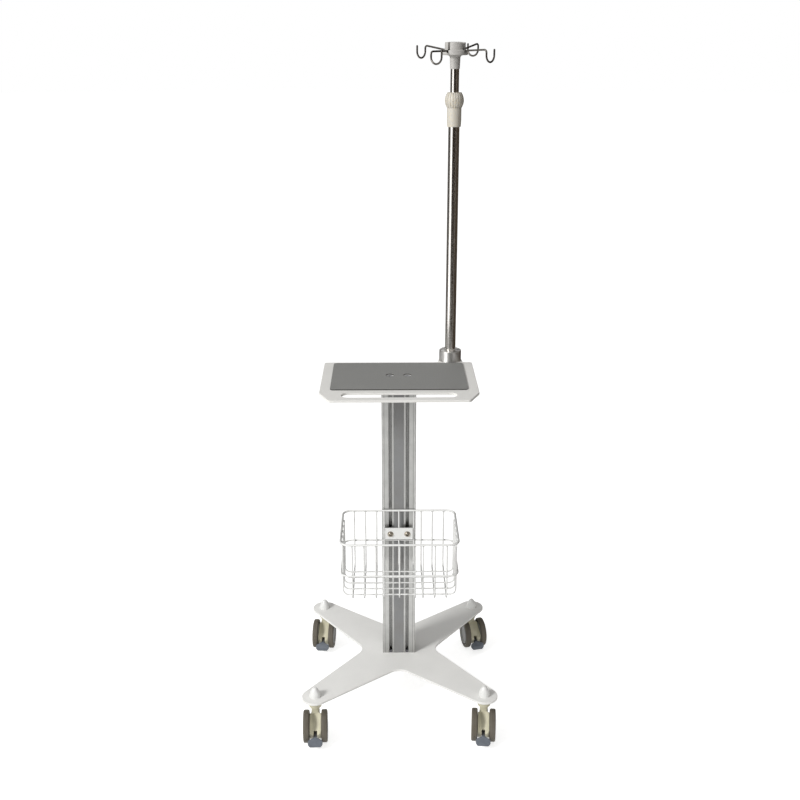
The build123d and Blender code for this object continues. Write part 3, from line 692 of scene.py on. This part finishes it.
def grow(name, tree, slot_name, sizes, points=None):
    """A plain mesh object made by running the tree with these sizes, on these points if any."""
    piece = placed(name, points or bpy.data.meshes.new(name))
    recipe = piece.modifiers.new("recipe", "NODES")
    recipe.node_group = tree
    wanted = {**sizes, "Finish": finishes[slot_name]}
    for item in tree.interface.items_tree:
        if item.in_out == "INPUT" and item.name in wanted:
            recipe[item.identifier] = wanted[item.name]
    return flattened(piece)


def settle(piece, body, slot_name, *replaced):
    """The piece rides on its body and stands for the CAD nodes it replaces. Its slot_name is not
    used.
    """
    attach(piece, body)
    if replaced:
        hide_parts(*replaced)
    faces = sum(len(face.vertices) - 2 for face in piece.data.polygons)
    print(piece.name, "on", body, faces, "triangles")


def joined(name, parts):
    """One object from several that share a finish."""
    shape = bmesh.new()
    for part in parts:
        shape.from_mesh(part.data)
    whole = placed(name, kept_mesh(name, shape, *parts[0].data.materials))
    for part in parts:
        bpy.data.objects.remove(part)
    return whole


print("tree helpers are ready")

# %% [markdown]
# The basket is bent from round wire: two hoops, and rows of U shapes that hang inside them. A
# hoop is a rounded rectangle with a circle swept along it. A rectangle curve gives the path,
# Fillet Curve rounds its corners, and Curve to Mesh sweeps the circle. The small functions name
# these steps, because the later trees take them too.

# %% Basket hoops
def circle(tree, sides, radius):
    return geometry(tree, "CurvePrimitiveCircle", {"Resolution": sides, "Radius": radius})


def rectangle(tree, width, height):
    return geometry(tree, "CurvePrimitiveQuadrilateral", {"Width": width, "Height": height})


def rounded(tree, path, steps, radius):
    return geometry(tree, "FilletCurve", {"Curve": path, "Count": steps, "Radius": radius},
                    mode="POLY")


def swept(tree, path, profile, caps=False):
    return geometry(tree, "CurveToMesh",
                    {"Curve": path, "Profile Curve": profile, "Fill Caps": caps})


def moved(tree, shape, place, turn=(0, 0, 0)):
    return geometry(tree, "Transform",
                    {"Geometry": shape, "Translation": place, "Rotation": turn})


def hoop_tree():
    tree, given = start_tree("wire_hoop", {"Width": 0.26, "Depth": 0.17, "Corner": 0.02,
                                           "Wire Radius": 0.0025, "Centre": (0.0, 0.0, 0.0)})
    path = rectangle(tree, given["Width"], given["Depth"])
    hoop = swept(tree, rounded(tree, path, 12, given["Corner"]),
                 circle(tree, 14, given["Wire Radius"]))
    return end_tree(tree, moved(tree, hoop, given["Centre"]), given)


wire_hoop = hoop_tree()
basket_corner = 20 * mm
for hoop in ("basket_rim", "basket_band"):
    size = extent(hoop)
    thick = size.z / 2
    inset = (extent("basket_rim").x - size.x) / 2 + thick - extent("basket_rim").z / 2
    piece = grow(hoop + "_hoop", wire_hoop, "white_wire",
                 {"Width": size.x - 2 * thick, "Depth": size.y - 2 * thick,
                  "Corner": basket_corner - inset, "Wire Radius": thick,
                  "Centre": middle(hoop)})
    settle(piece, "trolley", "white_wire", hoop)

# %% [markdown]
# A U of wire starts as a quadrilateral through four points. Opened, it loses its top side, and
# the same fillet rounds its two lower corners. Instance on Points then sets a copy on each point
# of a line. The long wires need three rows, because two of them stand closer in, where they
# frame the bracket, and the cross wires need one row turned by a right angle.

# %% Rows of bent wire
def wire_row_tree():
    tree, given = start_tree("wire_row", {
        "Span": 0.16, "Drop": 0.14, "Bend": 0.013, "Wire Radius": 0.00175, "Count": 3,
        "Pitch": 0.026, "First": (0.0, 0.0, 0.0), "Turn": 0.0})
    right = sums(tree, "MULTIPLY", given["Span"], 0.5)
    left = sums(tree, "MULTIPLY", given["Span"], -0.5)
    low = sums(tree, "MULTIPLY", given["Drop"], -1.0)
    path = geometry(tree, "CurvePrimitiveQuadrilateral",
                    {"Point 1": combined(tree, X=left),
                     "Point 2": combined(tree, X=left, Z=low),
                     "Point 3": combined(tree, X=right, Z=low),
                     "Point 4": combined(tree, X=right)}, mode="POINTS")
    opened = geometry(tree, "SetSplineCyclic", {0: path, "Cyclic": False})
    bent = swept(tree, rounded(tree, opened, 10, given["Bend"]),
                 circle(tree, 12, given["Wire Radius"]), caps=True)
    places = geometry(tree, "MeshLine", {"Count": given["Count"],
                                         "Offset": combined(tree, Y=given["Pitch"])})
    row = geometry(tree, "InstanceOnPoints", {"Points": places, "Instance": bent})
    row = moved(tree, row, given["First"], combined(tree, Z=given["Turn"]))
    return end_tree(tree, row, given)


wire_row = wire_row_tree()
wire_radius = 1.75 * mm
wire_bend = 13 * mm
wire_pitch = 26.4 * mm
bracket_wire_x = 35 * mm
basket_at = middle("basket_rim")
long_size = extent("basket_long_wires")
cross_size = extent("basket_cross_wires")
cross_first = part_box("basket_cross_wires")[0].y + wire_radius
cross_count = 1 + round((cross_size.y - 2 * wire_radius) / wire_pitch)


def long_row(name, first_x, pitch):
    return grow(name, wire_row, "white_wire",
                {"Span": long_size.y - 2 * wire_radius, "Drop": long_size.z - wire_radius,
                 "Bend": wire_bend, "Wire Radius": wire_radius, "Count": 3,
                 "Pitch": -pitch, "Turn": math.pi / 2,
                 "First": (basket_at.x + first_x, basket_at.y, basket_at.z)})


long_rows = joined("basket_long_wirework", [
    long_row("left_wires", -4 * wire_pitch, wire_pitch),
    long_row("middle_wires", -bracket_wire_x, bracket_wire_x),
    long_row("right_wires", 2 * wire_pitch, wire_pitch)])
settle(long_rows, "trolley", "white_wire", "basket_long_wires")
cross_row = grow("basket_cross_wirework", wire_row, "white_wire", {
    "Span": cross_size.x - 2 * wire_radius, "Drop": cross_size.z - wire_radius,
    "Bend": wire_bend, "Wire Radius": wire_radius, "Count": cross_count,
    "Pitch": wire_pitch, "Turn": 0.0, "First": (basket_at.x, cross_first, basket_at.z)})
settle(cross_row, "trolley", "white_wire", "basket_cross_wires")

# %% [markdown]
# Welds, screws and plugs are the same small shape set down many times. A second tree does that:
# it reads an arrow stored on each point, the facing attribute, stands a copy along it, and twists
# each copy by a random angle with a fixed seed, because no two screws stop at the same turn.

# %% Copies on points
def copies_tree():
    tree, given = start_tree("copies_on_points", {"Twist": 0.0})
    arrow = geometry(tree, "InputNamedAttribute", {"Name": "facing"},
                     data_type="FLOAT_VECTOR")
    stood = add_node(tree, "FunctionNodeAlignRotationToVector", {"Vector": arrow},
                     axis="Z").outputs[0]
    chance = add_node(tree, "FunctionNodeRandomValue", {"Max": given["Twist"], "Seed": 7},
                      data_type="FLOAT").outputs["Value"]
    twist = add_node(tree, "FunctionNodeAxisAngleToRotation",
                     {"Axis": (0, 0, 1), "Angle": chance}).outputs[0]
    turned = add_node(tree, "FunctionNodeRotateRotation",
                      {"Rotation": stood, "Rotate By": twist},
                      rotation_space="LOCAL").outputs[0]
    shape = add_node(tree, "GeometryNodeObjectInfo", {"Object": given["Part"]})
    copies = geometry(tree, "InstanceOnPoints",
                      {"Points": given["Geometry"], "Instance": shape.outputs["Geometry"],
                       "Rotation": turned})
    return end_tree(tree, copies, given)


def points_mesh(places, arrow):
    """A mesh of bare points, each of which faces along the arrow."""
    mesh = bpy.data.meshes.new("spots")
    mesh.from_pydata(places, [], [])
    for point in mesh.attributes.new("facing", "FLOAT_VECTOR", "POINT").data:
        point.vector = arrow
    return mesh


def scatter(name, part, slot_name, places, arrow=(0, 0, 1), twist=0.0):
    """A copy of the part at every place, as one plain mesh. The part itself is used up."""
    piece = grow(name, copies_on_points, slot_name, {"Part": part, "Twist": twist},
                 points_mesh(places, arrow))
    bpy.data.objects.remove(part)
    piece.data.set_sharp_from_angle(angle=math.radians(32))
    return piece


copies_on_points = copies_tree()
print("the copies tree has", len(copies_on_points.nodes), "nodes")

# %% [markdown]
# A screw, a block of painted shade, a weld and a hook's tip are all rings of points stacked about
# an axis, and a ring may have corners, as a key hole has.

# %% Stack rings
def stacked(name, rings, steps=24):
    """A closed part about Z from rings of (radius, height, corners), bottom to top. A ring with
    no corners is a circle; with six it is a hexagon whose flats stand at the radius."""
    shape = bmesh.new()
    loops = []
    for radius, height, corner_count in rings:
        loop = []
        for step in range(steps):
            turn = math.tau * step / steps
            reach = radius
            if corner_count:
                wedge = math.tau / corner_count
                reach = radius / math.cos((turn + wedge / 2) % wedge - wedge / 2)
            loop.append(shape.verts.new(
                (reach * math.cos(turn), reach * math.sin(turn), height)))
        loops.append(loop)
    for below, above in zip(loops, loops[1:]):
        for step in range(steps):
            after = (step + 1) % steps
            shape.faces.new((below[step], below[after], above[after], above[step]))
    shape.faces.new(reversed(loops[0]))
    shape.faces.new(loops[-1])
    return placed(name, kept_mesh(name, shape))


print("the ring helper is ready")

# %% [markdown]
# Where two basket wires meet, the spot weld leaves a small blob under the coat. Without it, the
# wires would only seem to lie near each other. A squashed ball of a few dozen faces is enough,
# since there are about a hundred of them.

# %% Basket welds
weld_radius = 2.3 * mm
weld_height = 2.5 * mm
weld_layers = 6
weld_rings = []
for layer in range(weld_layers + 1):
    lift = math.pi * (layer / weld_layers - 0.5)
    weld_rings.append((weld_radius * max(math.cos(lift), 0.05), weld_height * math.sin(lift), 0))

long_places = [side * n * wire_pitch for n in (2, 3, 4) for side in (-1, 1)]
long_places += [-bracket_wire_x, 0.0, bracket_wire_x]
cross_places = [cross_first + n * wire_pitch for n in range(cross_count)]
half_y = long_size.y / 2 - wire_radius
half_x = cross_size.x / 2 - wire_radius
floor_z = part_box("basket_cross_wires")[0].z
levels = (basket_at.z - wire_radius, middle("basket_band").z)
weld_spots = []
for x in long_places:
    for side in (-1, 1):
        y = basket_at.y + side * (half_y + wire_radius / 2)
        weld_spots += [(basket_at.x + x, y, z) for z in levels]
    weld_spots += [(basket_at.x + x, y, floor_z) for y in cross_places]
for y in cross_places:
    for side in (-1, 1):
        x = basket_at.x + side * (half_x + wire_radius / 2)
        weld_spots += [(x, y, z) for z in levels]
welds = scatter("basket_welds", stacked("weld", weld_rings, steps=8), "white_wire", weld_spots)
settle(welds, "trolley", "white_wire")
print(len(weld_spots), "welds")

# %% [markdown]
# The screws are all one family: a shank, a head with a soft shoulder, and a six-sided key hole.
# Each function stacks its rings from the shank's foot up to the head, then down into the hole.

# %% Screw shapes
def shank_foot(radius, length):
    """The drawn-in foot of a shank that hangs below z = 0."""
    return [(radius * 0.8, -length, 0), (radius, -length + radius * 0.3, 0)]


def button_screw(head_radius, head, shank_radius, shank, key):
    """A domed screw on a flange, its seat at z = 0 and its shank below."""
    flange = head_radius * 1.2
    return stacked("screw", shank_foot(shank_radius, shank) + [
        (shank_radius, 0, 0), (flange, 0, 0), (flange, head * 0.16, 0),
        (head_radius, head * 0.24, 0), (head_radius, head * 0.34, 0),
        (head_radius * 0.93, head * 0.62, 0), (head_radius * 0.78, head * 0.86, 0),
        (head_radius * 0.6, head, 0),
        (key * 1.1, head, 6), (key, head * 0.93, 6), (key, head * 0.35, 6)])


def socket_screw(head_radius, head, shank_radius, shank, key):
    """A cylindrical screw with a chamfered head."""
    ease = head_radius * 0.1
    return stacked("screw", shank_foot(shank_radius, shank) + [
        (shank_radius, 0, 0), (head_radius, 0, 0), (head_radius, head - ease, 0),
        (head_radius - ease, head, 0), (key * 1.15, head, 6), (key, head - ease, 6),
        (key, head * 0.35, 6)])


def flush_screw(head_radius, head, shank_radius, shank, key):
    """A countersunk screw whose face is at z = 0."""
    rim = 0.2 * mm
    ease = 0.3 * mm
    return stacked("screw", shank_foot(shank_radius, shank) + [
        (shank_radius, -head, 0), (head_radius, -rim, 0), (head_radius - ease, 0, 0),
        (key * 1.15, 0, 6), (key, -ease, 6), (key, -head * 0.7, 6)])


print("three screw shapes are ready")

# %% [markdown]
# Each pair of screws takes its heads and its places from the CAD solids that it stands for. The
# basket's and the tray's screws go into the column's slots, and two black ones hold the pole.

# %% Set the screws
def screw_pair(name, screw, slot_name, centre, aside, cad_name, arrow=(0, 0, 1), finish=None):
    """Copies of a screw on both sides of a centre, in place of a CAD node."""
    x, y, z = centre
    screws = scatter(name, screw, slot_name, [(x - aside, y, z), (x + aside, y, z)], arrow,
                     math.tau)
    if finish:
        screws.data.materials[0] = finish
    settle(screws, "trolley", slot_name, cad_name)


small_key, large_key = 2.2 * mm, 3.1 * mm
thin_shank, thick_shank = 2.5 * mm, 3 * mm
countersink = 3 * mm

low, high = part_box("basket_screws")
bracket_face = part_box("basket_bracket")[0].y
head_radius = (high.z - low.z) / 2
slot_x = (high.x - low.x) / 2 - head_radius
screw = button_screw(head_radius, bracket_face - low.y, thick_shank, high.y - bracket_face,
                     large_key)
screw_pair("basket_button_screws", screw, "nickel_screw",
           (column_at.x, bracket_face, (low.z + high.z) / 2), slot_x, "basket_screws",
           arrow=(0, -1, 0))

low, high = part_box("socket_screws")
head_radius = (high.y - low.y) / 2
head = 5 * mm
screw = socket_screw(head_radius, head, thin_shank, high.z - low.z - head, small_key)
screw_pair("socket_cap_screws", screw, "zinc_steel", (pole_at.x, pole_at.y, high.z - head),
           (high.x - low.x) / 2 - head_radius, "socket_screws", finish=finishes["black_steel"])

low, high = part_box("tray_screws")
screw = flush_screw((high.y - low.y) / 2, countersink, thick_shank, high.z - low.z, small_key)
screw_pair("tray_flush_screws", screw, "zinc_steel", (column_at.x, column_at.y, high.z),
           slot_x, "tray_screws")

# %% [markdown]
# A small black block stands at the foot of each front slot, just above the base: painted shade
# for the dark hole there. It is square, so its rings have four corners.

# %% Painted shade at the slot feet
shade_block_rings = ((3.0, 0.2), (3.3, 0.6), (3.3, 5.2), (2.7, 6.0))
shade_block_setback = 4.2 * mm

plug = stacked("plug", [(half * mm, height * mm, 4) for half, height in shade_block_rings], steps=32)
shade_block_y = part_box("column")[0].y + shade_block_setback
# Black blocks at the slot feet: painted shade.
shade_blocks = scatter("slot_foot_plugs", plug, "guide_plastic",
                [(column_at.x + side * slot_x, shade_block_y, base_top) for side in (-1, 1)])
settle(shade_blocks, "trolley", "guide_plastic")

# %% [markdown]
# A tyre is moulded in two halves, so its shoulders are round and a faint line runs round the
# middle of its tread. The tree sweeps a rounded rectangle round a circle, lays a hair-thin ring
# on the tread, and turns the axle to the bearing that the model's joint gives, so all eight
# wheels come from one recipe.

# %% Tyres
def tyre_tree():
    tree, given = start_tree("tyre", {
        "Outer Radius": 0.0375, "Core Radius": 0.03, "Width": 0.014, "Shoulder": 0.003,
        "Line": 0.0003, "Bearing": 0.0, "Centre": (0.0, 0.0, 0.0)})
    tread = sums(tree, "SUBTRACT", given["Outer Radius"], given["Line"])
    thick = sums(tree, "SUBTRACT", tread, given["Core Radius"])
    half_way = sums(tree, "MULTIPLY", sums(tree, "ADD", tread, given["Core Radius"]), 0.5)
    block = rounded(tree, rectangle(tree, thick, given["Width"]), 6, given["Shoulder"])
    ring = swept(tree, circle(tree, 96, half_way), block)
    line = swept(tree, circle(tree, 96, tread), circle(tree, 6, given["Line"]))
    both = add_node(tree, "GeometryNodeJoinGeometry")
    tree.links.new(ring, both.inputs[0])
    tree.links.new(line, both.inputs[0])
    turn = combined(tree, Y=math.pi / 2, Z=given["Bearing"])
    return end_tree(tree, moved(tree, both.outputs[0], given["Centre"], turn), given)


tyre = tyre_tree()
joint_of = {joint["child"]: joint for joint in frame["joints"]}
tyre_width = 14 * mm
tyre_core = 28 * mm
tyre_shoulder = 3.4 * mm
mould_line = 0.25 * mm
for corner in corners:
    for side in ("left", "right"):
        wheel = f"{corner}_wheel_{side}"
        axis = joint_of[wheel]["axis"]
        rubber_node = f"{corner}_tyre_{side}"
        piece = grow(f"{corner}_tread_{side}", tyre, "tread_rubber",
                     {"Outer Radius": extent(rubber_node).z / 2, "Core Radius": tyre_core,
                      "Width": tyre_width, "Shoulder": tyre_shoulder, "Line": mould_line,
                      "Bearing": math.atan2(axis[1], axis[0]), "Centre": middle(rubber_node)})
        settle(piece, wheel, "tread_rubber", rubber_node)

# %% [markdown]
# Moulded parts have no sharp corner: where two faces meet, the mould leaves a small round. On
# the solids the edges are crisp, so a copy of each is rebuilt on a fine voxel grid and its steps
# smoothed away, which rounds every edge and blends every joint at once. Decimate then drops the
# faces that a flat area doesn't need.

# %% Soften the mouldings
def softened(cad_name, new_name, slot_name, voxel, passes, keep):
    """A copy of a CAD node with every edge rounded, as one plain mesh."""
    shape = bmesh.new()
    shape.from_mesh(nodes[cad_name].data)
    bmesh.ops.remove_doubles(shape, verts=shape.verts, dist=0.001 * mm)
    piece = placed(new_name, kept_mesh(new_name, shape))
    grid = piece.modifiers.new("grid", "REMESH")
    grid.mode = "VOXEL"
    grid.voxel_size = voxel * mm
    grid.use_smooth_shade = True
    ease = piece.modifiers.new("ease", "SMOOTH")
    ease.factor = 0.5
    ease.iterations = passes
    fewer = piece.modifiers.new("fewer", "DECIMATE")
    fewer.ratio = keep
    flattened(piece)
    piece.data.materials.clear()
    piece.data.materials.append(finishes[slot_name])
    return piece


print("the softening helper is ready")

# %% [markdown]
# The pedal's pad and its lever are one moulding, and the lever sits in the housing's slot, where
# shade falls. After softening, faces within the lever's width and behind the pad take a second,
# black material as painted shade. The pad's upper edge is drawn up a little, so that it meets the
# slot.

# %% Soften the casters and paint shade on the levers
lever_half = 3.4 * mm
pad_growth = 1.13
pad_depth = 20 * mm


def paint_lever_shade(pedal, corner):
    """Draw the pad up and paint shade on the lever in black. How many faces took the painted
    shade.
    """
    swivel = Vector(joint_of[f"{corner}_caster"]["pos_m"])
    across = Vector(joint_of[f"{corner}_brake"]["axis"]).normalized()
    ahead = Vector((across.y, -across.x, 0))
    mesh = pedal.data
    foot = min(vertex.co.z for vertex in mesh.vertices)
    for vertex in mesh.vertices:
        vertex.co.z = foot + (vertex.co.z - foot) * pad_growth
    reach = max((vertex.co - swivel).dot(ahead) for vertex in mesh.vertices)
    # The lever's faces take black as painted shade.
    mesh.materials.append(finishes["guide_plastic"])
    shaded_faces = 0
    for face in mesh.polygons:
        offset = face.center - swivel
        behind = offset.dot(ahead) < reach - pad_depth
        if behind and abs(offset.dot(across)) < lever_half:
            face.material_index = 1
            shaded_faces += 1
    return shaded_faces


for corner in corners:
    housing = softened(f"{corner}_housing", f"{corner}_moulding", "cream_plastic", 0.6, 7, 0.35)
    settle(housing, f"{corner}_caster", "cream_plastic", f"{corner}_housing")
    pedal = softened(f"{corner}_pedal", f"{corner}_brake_pad", "slate_plastic", 0.45, 9, 0.5)
    print(corner, "lever faces", paint_lever_shade(pedal, corner))
    settle(pedal, f"{corner}_brake", "slate_plastic", f"{corner}_pedal")
carrier = softened("hook_head", "hook_carrier", "head_plastic", 0.5, 6, 0.4)
settle(carrier, "sliding_pole", "head_plastic", "hook_head")

# %% [markdown]
# Each hook's wire ends in a tip that is ground round, so that it can't scratch. The wire's last
# ring of points gives the tip's place, and a small dome of stacked rings closes it.

# %% Round the hook tips
hook_wire_radius = 2 * mm
tip_overlap = 0.3 * mm
tip_layers = 6


def hook_tip(cad_name):
    """The middle of the wire's open end: the top of what lies farthest from the pole."""
    points = [vertex.co for vertex in nodes[cad_name].data.vertices]
    reach = max((point - pole_at).xy.length for point in points)
    outer = [point for point in points
             if (point - pole_at).xy.length > reach - 2.2 * hook_wire_radius]
    top = max(point.z for point in outer)
    ring = [point for point in outer if point.z > top - 0.1 * mm]
    return sum(ring, Vector()) / len(ring)


tip_rings = [(hook_wire_radius * 0.99, -tip_overlap, 0)]
for layer in range(tip_layers):
    lift = math.pi / 2 * layer / tip_layers
    tip_rings.append((hook_wire_radius * math.cos(lift), hook_wire_radius * math.sin(lift), 0))
for number in (1, 2, 3, 4):
    dome = scatter(f"hook_{number}_tip", stacked("dome", tip_rings), "stainless_wire",
                   [hook_tip(f"hook_{number}")])
    settle(dome, f"hook_{number}", "stainless_wire")
